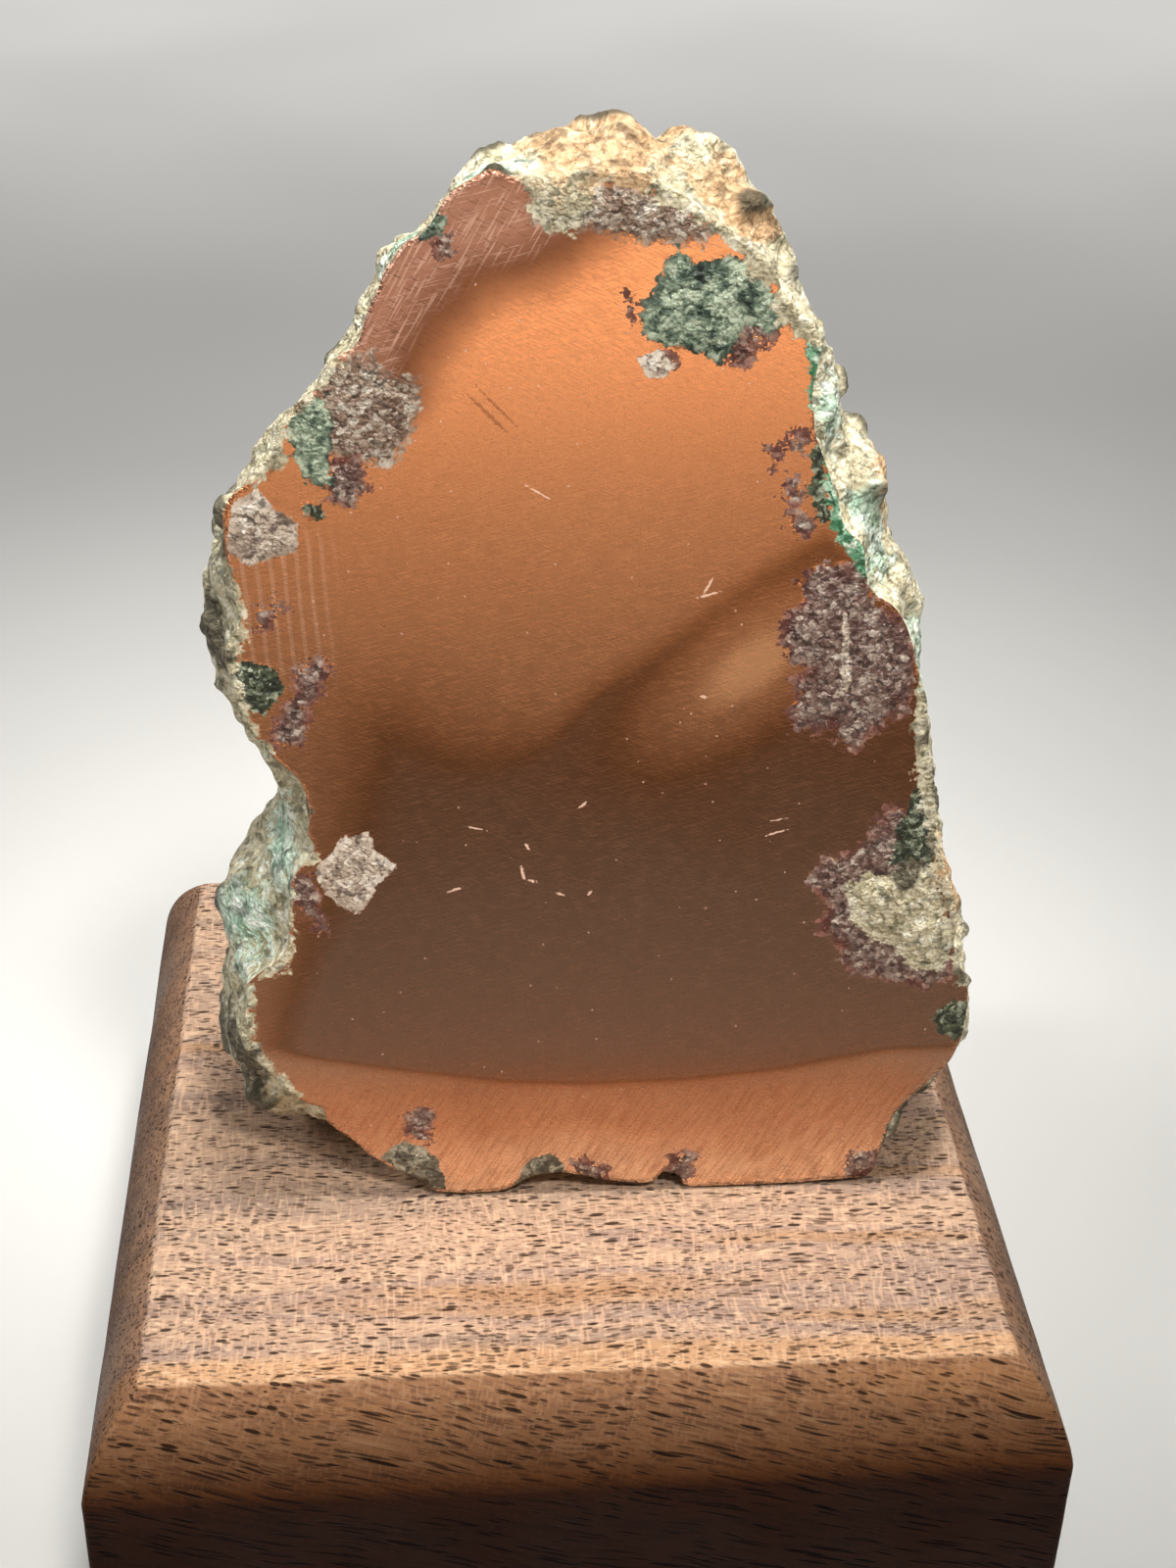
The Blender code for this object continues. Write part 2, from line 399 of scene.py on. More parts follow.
# The copper nugget. One natural piece of metal, sawn through and sanded flat on the front, with its
# natural lumpy skin behind. Places on it are (across, up, deep) in millimetres from the middle of the
# face's lower edge. The face leans back a little, and the pressed foot clears the block by a hair.
REST_GAP = 0.3
FACE_Y = -13.7
FACE_LEAN = 4.5
GIRTH_DEPTH = 8.0
THICKNESS_LOW = 30.0
THICKNESS_TOP = 19.0
THINS_FROM = 34.0
THINS_TO = 84.0
ROUND_SIDE = 0.55
ROUND_BACK = 0.9
FOOT_PRESS = 5.0
FOOT_HEIGHT = 14.0
FOOT_DEPTH = 16.0
FACE_CENTRE = (2.0, 42.0)
LUMPS = [(19.0, 3.0, 22.0), (9.0, 1.7, 14.0), (4.6, 0.8, 6.0)]

FACE_RIM = [
    (-12.3, 1.4), (-10.1, 0.2), (-6.2, 0.1), (-4.4, 0.6), (-2.8, 1.5), (-0.1, 1.8), (3.3, 0.9), (6.8, 0.6),
    (7.9, 1.6), (9.2, 1.2), (10.2, 0), (14.8, 0), (19.5, 0.1), (22.5, 0.3), (25.1, 0.7), (26, 2.7),
    (26.9, 6.6), (29, 9.4), (31.2, 12.1), (32, 15.6), (31.9, 18.9), (30.6, 22.4), (30.5, 24.9),
    (30, 27.6), (29, 30.2), (28.2, 33.3), (27.7, 37.1), (26.9, 40.5), (26.6, 43.8), (25.7, 46.6),
    (24.5, 50.2), (23.4, 52.1), (21.7, 53.2), (21.2, 54.9), (20.8, 56.6), (19.3, 58.5), (18.3, 61.4),
    (16.8, 65.3), (16.4, 68.6), (16.8, 71.5), (15.9, 73.4), (14, 75.3), (13.1, 77.5), (11.1, 79.2),
    (9.3, 80.2), (6.3, 82.3), (3.6, 83.6), (0.4, 83.8), (-2.2, 83.6), (-4.5, 83.2), (-6.3, 83.6),
    (-8.8, 82.1), (-10.6, 79.5), (-11.9, 78.8), (-13.2, 76.9), (-14.4, 74.3), (-15.4, 71.8), (-17.1, 70.7),
    (-18.1, 68.9), (-20.5, 66.4), (-21.9, 64), (-23.4, 61.9), (-24.7, 60.4), (-25.1, 57.4),
    (-24.7, 55.2), (-24.4, 52.9), (-24.2, 51.4), (-25.3, 49.4), (-25.1, 46.7), (-24.5, 44.3),
    (-23.5, 42.3), (-22, 40.2), (-20.6, 38.6), (-19.8, 36.2), (-20.1, 34.2), (-19.7, 32.4),
    (-21.4, 30), (-21.8, 26.7), (-22.1, 23.9), (-25.3, 20.8), (-25.4, 19.1), (-26, 15.8),
    (-25.4, 14.1), (-24.2, 12.8), (-22.9, 11.2), (-21.3, 9.5), (-19.9, 8.9), (-19.5, 7.6), (-17.4, 5.5),
    (-15.3, 3.5),
]
GIRTH = [
    (-14, 1.2), (-9, 0.2), (0, 0.6), (10, 0.2), (20, 0.4), (27.5, 1.6), (32, 6),
    (34.2, 11.5), (33.4, 18), (32.8, 22.5), (31, 27), (29.8, 33), (29, 39.5), (27.6, 46),
    (25.8, 52), (24, 57), (22.6, 61.5), (19.8, 64.5), (18.8, 69), (16.8, 75), (13.6, 81),
    (10.8, 84.6), (7.8, 86.2), (5.4, 85.2), (2.6, 86), (-2.4, 85.6), (-6.8, 83.4), (-10.8, 80.4),
    (-14.8, 75), (-18.2, 68.8), (-22.8, 63.6), (-26, 57), (-27.4, 50), (-26.4, 42.5),
    (-23.8, 35.5), (-23.6, 31), (-26, 25), (-27.6, 17.5), (-28.4, 11), (-25.4, 5.6), (-20.5, 3.6),
]


def closed_curve(points, per_span=12):
    """A closed Catmull-Rom curve through the points."""
    p = np.array(points, float)
    before, after, beyond = np.roll(p, 1, 0), np.roll(p, -1, 0), np.roll(p, -2, 0)
    t = (np.arange(per_span) / per_span)[None, :, None]
    p, before, after, beyond = (a[:, None, :] for a in (p, before, after, beyond))
    curve = p + 0.5 * t * (
        (after - before)
        + t * (2 * before - 5 * p + 4 * after - beyond)
        + t * t * (3 * (p - after) + beyond - before)
    )
    return curve.reshape(-1, 2)


def even_stations(curve, count):
    """The closed curve as this many points an equal length apart."""
    closed = np.concatenate([curve, curve[:1]])
    length = np.concatenate([[0], np.cumsum(np.linalg.norm(np.diff(closed, axis=0), axis=1))])
    at = np.arange(count) * length[-1] / count
    return np.stack([np.interp(at, length, axis) for axis in closed.T], 1)


def radius_at(points, angle):
    """How far a closed outline lies from the face's centre in each direction."""
    arm = closed_curve(points) - np.array(FACE_CENTRE)
    direction = np.arctan2(arm[:, 1], arm[:, 0])
    order = np.argsort(direction)
    return np.interp(angle, direction[order], np.hypot(*arm.T)[order], period=2 * math.pi)


def meridian(share):
    """Depth and radius shares along a line over the body, from the rim, 0, to the middle of the back, 1.

    The line is a squared-off quarter ellipse, and equal shares are equal lengths of it.
    """
    turn = np.linspace(0, math.pi / 2, 400)
    depth, radius = np.sin(turn) ** ROUND_BACK, np.cos(turn) ** ROUND_SIDE
    step = np.hypot(np.diff(depth) * THICKNESS_LOW, np.diff(radius) * FACE_CENTRE[1])
    length = np.concatenate([[0], np.cumsum(step)])
    at = share * length[-1]
    return np.interp(at, length, depth), np.interp(at, length, radius)


def nugget_skin(rim, angle, share):
    """The bare body: the rim's radius widens to the girth's, then shrinks along the meridian to the back."""
    depth_share, radius_share = meridian(share)
    widen = ease(depth_share * THICKNESS_LOW / GIRTH_DEPTH)
    radius = (rim + (radius_at(GIRTH, angle) - rim) * widen) * radius_share
    across = FACE_CENTRE[0] + radius * np.cos(angle)
    up = FACE_CENTRE[1] + radius * np.sin(angle)
    thins = ease((up - THINS_FROM) / (THINS_TO - THINS_FROM))
    deep = depth_share * (THICKNESS_LOW + (THICKNESS_TOP - THICKNESS_LOW) * thins)
    up -= FOOT_PRESS * ease(deep / FOOT_DEPTH) * ease(1 - up / FOOT_HEIGHT)
    return np.stack([across, up, deep], 1)


def nugget_body(half=85, strip=60, strip_share=0.46):
    """The bare nugget: a patch for the sawn face, a strip of rings round the side, a patch for the back."""
    share, station, patch, edge = disc_grid(half)
    centre = np.array(FACE_CENTRE)
    rim = even_stations(closed_curve(FACE_RIM, 6), 8 * half)
    arm = rim - centre
    ragged = np.column_stack([rim, np.zeros(len(rim))])
    arm *= 1 + (0.16 * smooth_noise(ragged, 1.7, 31) / np.linalg.norm(arm, axis=1))[:, None]
    angle = np.unwrap(np.arctan2(arm[:, 1], arm[:, 0]))
    radius = np.linalg.norm(arm, axis=1)
    turn = 2 * math.pi

    def between(values, at, wrap=0.0):
        low = np.floor(at).astype(int)
        first = values[low % len(values)] + wrap * (low // len(values))
        second = values[(low + 1) % len(values)] + wrap * ((low + 1) // len(values))
        return first + (second - first) * (at - low)

    face_radius, face_angle = between(radius, station), between(angle, station, turn)
    face = np.column_stack([
        centre[0] + share * face_radius * np.cos(face_angle),
        centre[1] + share * face_radius * np.sin(face_angle),
        np.zeros(len(share)),
    ])
    back = nugget_skin(face_radius, face_angle, 1 - (1 - strip_share) * share)
    rings = [nugget_skin(radius, angle, np.full(8 * half, strip_share * n / strip)) for n in range(1, strip)]
    points = np.concatenate([face, back, *rings])
    numbers = [edge]
    numbers += [2 * len(face) + np.arange(8 * half) + 8 * half * n for n in range(strip - 1)]
    numbers += [len(face) + edge]
    sides = [ring_quads(b, a) for a, b in zip(numbers, numbers[1:])]
    on_face = np.arange(len(points)) < len(face)
    on_face[edge] = False
    return points, np.concatenate([patch, patch[:, ::-1] + len(face), *sides]), on_face


def outward_normals(points, quads):
    """Each point's normal, from the crossed diagonals of the quads round it."""
    corner = points[quads]
    cross = np.cross(corner[:, 2] - corner[:, 0], corner[:, 3] - corner[:, 1])
    total = np.zeros_like(points)
    for n in range(4):
        np.add.at(total, quads[:, n], cross)
    return total / np.linalg.norm(total, axis=1, keepdims=True)


def grains(points, size, seed):
    """Rounded grains, 1 at the middle of each and 0 between: one point jittered in each cell of a lattice."""
    places = 0.5 + 0.28 * np.clip(lattice(seed), -1.7, 1.7)
    p = points / size
    cell = np.floor(p).astype(int)
    nearest = np.full(len(p), 9.0)
    for corner in np.ndindex(3, 3, 3):
        other = cell + corner - 1
        centre = other + places[tuple((other % len(places)).T)]
        nearest = np.minimum(nearest, np.sum((p - centre) ** 2, axis=1))
    return np.clip(1 - np.sqrt(nearest), 0, 1)


def stand_up(points):
    """The place in the row, in millimetres: the face leans back, and the foot clears the block."""
    lean = math.radians(FACE_LEAN)
    across, up, deep = points.T
    y = FACE_Y + up * math.sin(lean) + deep * math.cos(lean)
    z = up * math.cos(lean) - deep * math.sin(lean)
    return np.stack([across, y, STAND_HEIGHT + REST_GAP + np.maximum(z, 0)], 1)


# The minerals in the sawn face. They grew in and round the metal, so the saw cut them flush, as closed
# patches in (across, up) millimetres. Each kind is softer than copper and polished a little hollow.
MALACHITE = [
    [(6.5, 78.5), (8, 77.5), (10, 78), (11.5, 77.5), (13.5, 75.5), (14.5, 73.5), (13, 72.5), (11.5, 73.5),
     (10.5, 71), (9.5, 70.5), (7.5, 71.5), (6, 71.5), (4.5, 72.5), (4, 74), (5, 75.5), (5.5, 77)],
    [(-20.5, 67), (-19, 68), (-17.5, 68.5), (-17, 66), (-17.5, 64), (-17, 61.5), (-19, 62), (-20, 64)],
    [(-11.5, 79.8), (-10.2, 81), (-8.8, 80.6), (-9.4, 79.5), (-11, 79)],
]
ROCK = [
    [(-15.5, 4), (-13.5, 5.5), (-11.5, 4.5), (-10.5, 3), (-10, 0.2), (-12.5, 1), (-14, 2.5)],
    [(-4.5, 0.5), (-3.5, 3), (-2.5, 3.6), (-1, 3.6), (0, 2), (-1.5, 1), (-3, 0.5)],
    [(25.8, 1.5), (26.2, 5.5), (28, 7), (28, 3.5), (27, 1)],
]
DARK_MALACHITE = [
    [(-25.5, 48.5), (-23.5, 48.5), (-21.5, 47.5), (-21.5, 45.5), (-23, 44), (-25, 44.5)],
    [(-20, 60.5), (-18, 60.5), (-18, 59.2), (-19.5, 59.5)],
    [(29.5, 16.5), (30.5, 17.5), (32.5, 17.5), (32.5, 15.5), (31.5, 14), (29.5, 15)],
    [(25.2, 34), (26.5, 38), (28.4, 35), (28, 31.5), (28.5, 29), (26.5, 30.5), (24.8, 30.5)],
    [(16.6, 64.5), (17.6, 64.5), (17.6, 62), (18.5, 59), (17.4, 58.5), (16.6, 61)],
]
VERDIGRIS = [
    [(17.4, 64.5), (19, 64), (19.5, 60.5), (21.5, 56.5), (22, 53.5), (20.3, 55.2), (18.7, 57.5), (17.8, 61)],
    [(16, 73), (17.6, 72), (17.4, 68), (16.2, 66.5), (16.2, 69.5), (15.4, 71.8)],
]
CUPRITE = [
    [(10.8, 73.2), (12.5, 73.6), (14.3, 72.8), (13.2, 71.9), (11, 72)],
    [(10, 72), (11.5, 72.6), (12.7, 71.6), (12, 70.4), (10.3, 70.2)],
    [(5, 71.4), (6.5, 71.6), (7, 70.5), (6, 69.8)],
    [(13.4, 64.7), (14.6, 64.6), (14.6, 63.4), (13.9, 62.8)],
    [(14.6, 64.8), (15.6, 65.6), (16.7, 65.2), (16.2, 63.9), (15, 63.9)],
    [(14.8, 62.2), (15.7, 62.2), (16.2, 61), (15.9, 59.8), (14.8, 60.4)],
    [(15, 59.6), (16.2, 59.7), (17.5, 58.2), (16.5, 57.4), (15.3, 58)],
    [(17.5, 55.5), (19.5, 55.7), (21.2, 55.7), (21.6, 54), (22, 52.2), (24, 51.6), (25, 50), (25.7, 46.5),
     (25.5, 43.5), (24.5, 43), (22.5, 41.7), (21.5, 40), (20, 41), (19.5, 42), (16.5, 42), (15.8, 44),
     (16.7, 45), (16, 46), (17, 47), (15.3, 48), (15, 51.5), (16.5, 52.5), (16, 54), (16.7, 55)],
    [(18, 29), (19.5, 31.2), (22, 31.5), (22.5, 33), (24, 35.2), (25.5, 35.5), (27, 34.5), (28, 31.5),
     (29, 26), (30.8, 22.5), (30.5, 20), (28.5, 18.7), (27, 19.6), (24, 20), (21.5, 21), (21, 23),
     (19.3, 24.5), (20, 26.5), (18.8, 28)],
    [(-18, 63.5), (-15, 64.2), (-14.8, 61.5), (-16, 60.3), (-17.7, 60.5)],
    [(-20.7, 47.7), (-18.5, 48.7), (-17.8, 47.7), (-18.5, 46), (-19.5, 44.5), (-20, 41.5), (-22.2, 41.3),
     (-22.7, 43), (-21.5, 44.5), (-20.7, 46)],
    [(-23.2, 53), (-22.4, 52.3), (-21.2, 53.6), (-20.8, 52.7), (-21.8, 51.7), (-21, 50.8), (-23, 50.9)],
    [(-21.5, 31), (-19.8, 30.8), (-19.3, 27.5), (-18.4, 25.2), (-20, 25.8), (-21.5, 28)],
    [(7.8, 1), (8.4, 3), (10, 3.7), (11, 3.2), (10.5, 2), (9.8, 0)],
    [(-13.5, 8), (-12, 8.7), (-10.4, 8.2), (-11, 7), (-11.3, 4.8), (-12.9, 5.6)],
    [(0, 3.2), (1.5, 3.2), (3.7, 2.2), (3, 0.5), (1, 0.8)],
    [(23.3, 2.7), (24.5, 3.3), (26.2, 2.7), (26, 0.8), (24.5, 0.2), (23.3, 0.4)],
    [(3, 75.6), (3.7, 75.6), (3.9, 73.4), (3.3, 73.6)],
    [(-10.4, 79.6), (-8.6, 79.4), (-8.4, 78), (-9.8, 77.6)],
]
QUARTZ = [
    [(4, 71), (5.5, 71.5), (6.6, 70.4), (6, 69.4), (4.6, 69.5)],
    [(-19.7, 31), (-18.5, 32.2), (-17.5, 33.7), (-15.5, 34.1), (-15, 32.5), (-13.3, 31), (-15, 29.5),
     (-15.2, 28.8), (-16.5, 26.9), (-18, 27.8), (-19.3, 29.4)],
    [(-24.3, 60.5), (-22.5, 61.7), (-21.5, 60.2), (-19.9, 59.2), (-19.8, 57), (-21.5, 56.4), (-23.5, 55.8),
     (-24.9, 57)],
    [(19.7, 52), (20.3, 50.5), (20.5, 46), (20.4, 44.5), (19.9, 45), (19.8, 49)],
]
MAUVE = [
    [(-17, 70.7), (-14, 71.2), (-13.5, 70), (-11.3, 69.6), (-10.8, 68), (-11.6, 67), (-11.4, 65.8),
     (-12.4, 64.5), (-13, 63.3), (-14.7, 63.3), (-17.5, 64), (-18.2, 68.5)],
    [(-3.7, 83), (-1.5, 84), (0.5, 83), (3, 83), (6.5, 81.8), (9.8, 79.8), (8, 78.9), (5, 78.8), (2.5, 79.3),
     (0, 79.8), (-2.2, 79.7), (-3.3, 80.5)],
]
FACE_CRUST = [
    [(-4.2, 84.5), (-1.5, 84.5), (0.8, 82.8), (0.4, 80.6), (-0.6, 79.6), (-2.6, 79.9), (-3.4, 81)],
    [(21.3, 28.5), (23, 29.6), (24.5, 29.6), (26.5, 30.8), (28.4, 30), (29.3, 27), (30.8, 23.5),
     (29.5, 20.3), (27, 21), (25.5, 23), (23.5, 24), (22, 25.5)],
    [(25.5, 47), (27, 47), (27.6, 40.5), (28.6, 36), (30, 30), (31.4, 25), (32.8, 18.9), (31.2, 18.8),
     (30, 24), (28.9, 28.5), (27.4, 33), (26.3, 37.5), (25.7, 42)],
    [(-21, 35), (-19.2, 32), (-21.2, 31), (-21.6, 26.7), (-21.8, 22), (-24, 21.5), (-25, 24), (-23, 33)],
    [(-4.5, 83), (-1, 83), (3, 82.6), (6.3, 81.3), (9.3, 79.2), (11.2, 78), (11.2, 76.5), (13.3, 75.8),
     (13.3, 74), (14.3, 73), (15.8, 71.8), (17.5, 71.5), (17, 76), (10, 83), (2, 86), (-4.5, 86)],
    [(-25.8, 58), (-24.4, 55.2), (-23.7, 51.4), (-24.7, 47), (-23.3, 42.5), (-21.3, 39.3), (-19.6, 36),
     (-21, 35), (-28, 43), (-28, 55)],
    [(-26.5, 21), (-24.6, 20.8), (-25, 16), (-23.8, 13.3), (-21.5, 10.3), (-24, 9), (-28, 14)],
    [(-24.5, 62.5), (-22.5, 61.8), (-20.5, 63.5), (-20.3, 66), (-18, 68.7), (-16, 71), (-19, 72), (-26, 64)],
]
# The upper left shoulder: patina towards the rim, and painted shade along its inner edge.
TARNISH_AND_SHADE = [
    [(-24, 72), (-15, 86), (-3.2, 86), (1.5, 79.6), (-1.2, 77.6), (-4, 76.2), (-7.2, 75.2), (-9.2, 73.4),
     (-10.6, 70.8), (-11.4, 68), (-13.5, 65.7), (-18, 66)],
]
# The patch of brown on the face: partly patina, partly painted shade for the dark that the face mirrors.
TONED = [
    [(-21, 49), (-12, 51), (-6.3, 47.5), (-1.9, 45.5), (3.9, 48.4), (8.1, 52), (10.9, 54.3), (14.4, 56.8),
     (18, 59), (26, 54), (40, 20), (40, -20), (-40, -20), (-23, 40)],
]
# Where the face's pale foot strip ends; the strip is a painted reflection of the block's top.
FOOT_LINE = [
    (-25, 14.4), (-20.5, 13.4), (-14.2, 12.2), (-4.8, 10.6), (1.5, 10.2), (9.5, 10.4), (17.5, 11.2),
    (26, 12.8),
]
# How the brown fades at its edge, then the centre, half-lengths and turn of a painted highlight under its
# upper right edge.
TONE_EDGE = 3.2
TONE_FADE = 9.0
HIGHLIGHT_CENTRE = (13.0, 47.3)
HIGHLIGHT_REACH = (7.5, 3.5)
HIGHLIGHT_TURN = 40.0
MINERALS = {
    "malachite": MALACHITE,
    "dark_malachite": DARK_MALACHITE,
    "verdigris": VERDIGRIS,
    "cuprite": CUPRITE,
    "quartz": QUARTZ,
    "mauve": MAUVE,
    "rock": ROCK,
    "face_crust": FACE_CRUST,
    "tarnish_and_shade": TARNISH_AND_SHADE,
}
HOLLOWS = {
    "malachite": 0.12,
    "dark_malachite": 0.12,
    "verdigris": 0.16,
    "cuprite": 0.08,
    "quartz": 0.05,
    "mauve": 0.1,
    "rock": 0.16,
    "face_crust": 0.3,
}
FAR_OUTSIDE = -9.0


def within(points, outlines):
    """How far inside the nearest closed outline each point is, in millimetres, and negative outside.

    The distance is to the nearest side. The sign is from how many sides a level line to the right crosses.
    """
    best = np.full(len(points), FAR_OUTSIDE)
    x, y = points[:, 0, None], points[:, 1, None]
    for outline in outlines:
        start = np.array(outline, float)
        side = np.roll(start, -1, 0) - start
        arm = points[:, None] - start
        along = np.clip((arm * side).sum(2) / (side**2).sum(1), 0, 1)
        gap = np.linalg.norm(arm - along[..., None] * side, axis=2).min(1)
        spans = (start[:, 1] > y) != (start[:, 1] + side[:, 1] > y)
        rise = np.where(side[:, 1] == 0, 1, side[:, 1])
        crossed = spans & (x < start[:, 0] + (y - start[:, 1]) * side[:, 0] / rise)
        best = np.maximum(best, np.where(crossed.sum(1) % 2, gap, -gap))
    return best


# The zones of the crust's colour, as soft spots: (across, up, deep, reach). Its grains have sizes of
# their own, all in millimetres.
IRON_SPOTS = [
    (-0.8, 85, 4, 3.4), (2.6, 85.2, 3.6, 3.2), (1, 85, 9, 6), (10, 82.4, 2.2, 2.2), (11.2, 80.2, 1.5, 1.6),
    (23, 60, 6, 3), (31, 28, 4, 3), (14, 82, 14, 4), (-4, 70, 18, 9), (20, 30, 26, 11), (-14, 20, 26, 9),
]
MINT_SPOTS = [
    (-6.8, 83.4, 1.8, 2.4), (-4.8, 84, 1.6, 1.9), (-12.4, 79, 2, 2.2), (-23.5, 31, 4, 4.6), (-26, 24, 5, 4.4),
    (18.5, 66, 3, 3), (21, 58.5, 3.2, 3.2), (22.5, 55, 3.5, 2.6), (28, 44, 5, 4), (5, 60, 22, 10),
    (-16, 48, 22, 10), (24, 12, 22, 8),
]
DARK_SPOTS = [
    (-27, 50, 4, 3), (-27, 10, 4, 3), (28.5, 36, 3, 2.6), (-24.5, 38, 3, 2.4), (7.2, 85.2, 3.4, 1.1),
    (26.5, 31, 0, 2.2), (10, 40, 27, 8), (-22, 66, 14, 6),
]
BILLOW_SIZE = 4.4
PIT_SPACING = 3.6
RIPPLE_LENGTH = 2.4
KNOB_SIZE = 1.5
GRIT_SIZE = 0.75
HOLLOW_RIM = 1.1


def wandered(points, wavelength, reach, seed):
    """The points pushed about by three smooth noises, one along each axis."""
    return points + reach * np.stack([smooth_noise(points, wavelength, seed + n) for n in range(3)], 1)


def spots(points, places):
    """The strongest of several soft spots, 1 at a spot's middle, their outlines wandering."""
    places = np.array(places, float)
    points, middles = (wandered(wandered(p, 9.0, 2.2, 40), 3.0, 1.3, 43) for p in (points, places[:, :3]))
    gaps = [np.linalg.norm(points - middle, axis=1) / size for middle, size in zip(middles, places[:, 3])]
    return np.exp(-(np.min(gaps, axis=0) ** 2))


def toning_and_highlight(points, patch):
    """How brown the face is painted: 0 outside the toned patch, and more towards its foot. The brown is
    partly patina and partly painted shade, for the dark that the face mirrors.

    The change is quick along the patch's upper right and slow on its left, and a long painted highlight,
    below 0, lies under its upper right edge. It ends short above the foot, whose pale strip is a painted
    reflection of the block's top.
    """
    across, up = points[:, 0], points[:, 1]
    width = TONE_EDGE + TONE_FADE * ease((4 - across) / 14)
    # Painted highlight: a long pale spot, entered below 0, under the patch's upper right edge.
    turn = math.radians(HIGHLIGHT_TURN)
    unturn = [[math.cos(turn), -math.sin(turn)], [math.sin(turn), math.cos(turn)]]
    arm = (points[:, :2] - HIGHLIGHT_CENTRE) @ unturn
    painted_highlight_spot = np.exp(-np.sum((arm / HIGHLIGHT_REACH) ** 2, axis=1))
    # The brown stops over the foot strip, which stays pale as a painted reflection of the block's top.
    over_foot_strip = ease((up - np.interp(across, *np.transpose(FOOT_LINE)) + 0.7) / 1.7)
    brown = ease((patch + 1) / width) * over_foot_strip * (0.76 + 0.2 * ease((42 - up) / 26))
    return brown * (1 - painted_highlight_spot) - 0.5 * ease((patch + 1) / 5) * painted_highlight_spot


body, nugget_quads, on_face = nugget_body()
normals = outward_normals(body, nugget_quads)
depth = body[:, 2]
coarse = sum(
    height * ease(depth / settled) * smooth_noise(body, wavelength, seed)
    for seed, (wavelength, height, settled) in enumerate(LUMPS)
)
knobs = grains(body, KNOB_SIZE, 12)
grit = grains(body, GRIT_SIZE, 13)
ripple = smooth_noise(body, RIPPLE_LENGTH, 14)
pits = ease((smooth_noise(body, PIT_SPACING, 15) - 0.35) / 0.3)
billow = grains(body, BILLOW_SIZE, 17)
fine = 0.38 * ripple + 0.5 * (knobs - 0.45) + 0.3 * (grit - 0.4) - 0.8 * pits
lift = coarse + fine * ease(depth / 1.2) + 1.2 * (billow - 0.45) * ease(depth / 4)
undercut = 1.3 * ease(depth / 1.2) * ease((9 - depth) / 5) * ease(1 - body[:, 1] / 4)

inside = {
    name: np.where(depth < 0.01, within(body[:, :2], outlines), FAR_OUTSIDE)
    for name, outlines in MINERALS.items()
}
uneven = 0.6 + 0.8 * knobs + 0.5 * smooth_noise(body, HOLLOW_RIM, 16)
hollow = uneven * sum(sink * ease((inside[name] - 0.5) / HOLLOW_RIM) for name, sink in HOLLOWS.items())
lift = np.where(on_face, -hollow, lift)
placed = stand_up(body + normals * lift[:, None] + np.outer(undercut, (0, 1, 0)))
nugget = mesh_piece("native_copper", placed, nugget_quads)


def write_attribute(piece, name, values):
    """A number or a triple for each vertex, for the material to read."""
    kind, field = ("FLOAT_VECTOR", "vector") if values.ndim == 2 else ("FLOAT", "value")
    layer = piece.data.attributes.new(name, kind, "POINT")
    layer.data.foreach_set(field, values.astype(np.float32).ravel())


patches = np.max([value for name, value in inside.items() if name != "tarnish_and_shade"], axis=0)
fields = {name: np.clip(value, -3, 6) for name, value in inside.items()} | {
    "body_mm": body,
    "stony": np.where(on_face, ease((patches - 0.15) / 0.5), 1),
    "toned": np.where(on_face, toning_and_highlight(body, within(body[:, :2], TONED)), 0),
    "skin": np.clip(depth, 0, 1),
    "height": np.clip(0.5 + 0.5 * fine, 0, 1),
    "bulge": np.clip(0.5 + 0.12 * coarse, 0, 1),
    "iron": spots(body, IRON_SPOTS),
    "mint": spots(body, MINT_SPOTS),
    "dark": spots(body, DARK_SPOTS),
}
for name, values in fields.items():
    write_attribute(nugget, name, values)

# Bright nicks in the sanded face, and two dull scores: where each runs from and to, and its half-width.
NICKS = [
    (9.3, 53.2, 9.9, 54.4, 0.09), (9.1, 53, 10.2, 53.3, 0.10), (14.9, 33.1, 16.5, 33.6, 0.08),
    (15.3, 34.4, 16.5, 34.6, 0.06), (0.5, 35.9, 0.9, 36.2, 0.10), (-3.6, 32.8, -3.4, 32.5, 0.12),
    (-3.9, 30.8, -3.7, 29.8, 0.13), (-3.3, 29.6, -2.9, 29.5, 0.12), (-1.1, 28.4, -0.7, 28.3, 0.12),
    (1.3, 28.2, 1.5, 28.5, 0.10), (9.5, 45, 9.7, 44.9, 0.12), (-3.7, 61.7, -1.9, 60.6, 0.06),
    (-9.4, 28.8, -8.5, 29.1, 0.09), (-8, 34.4, -6.8, 34.1, 0.06),
]
SCORES = [(-7.6, 68.2, -5.2, 65.8, 0.14), (-6.8, 68.6, -4.6, 66.3, 0.10)]
SAW_PITCH = 0.95

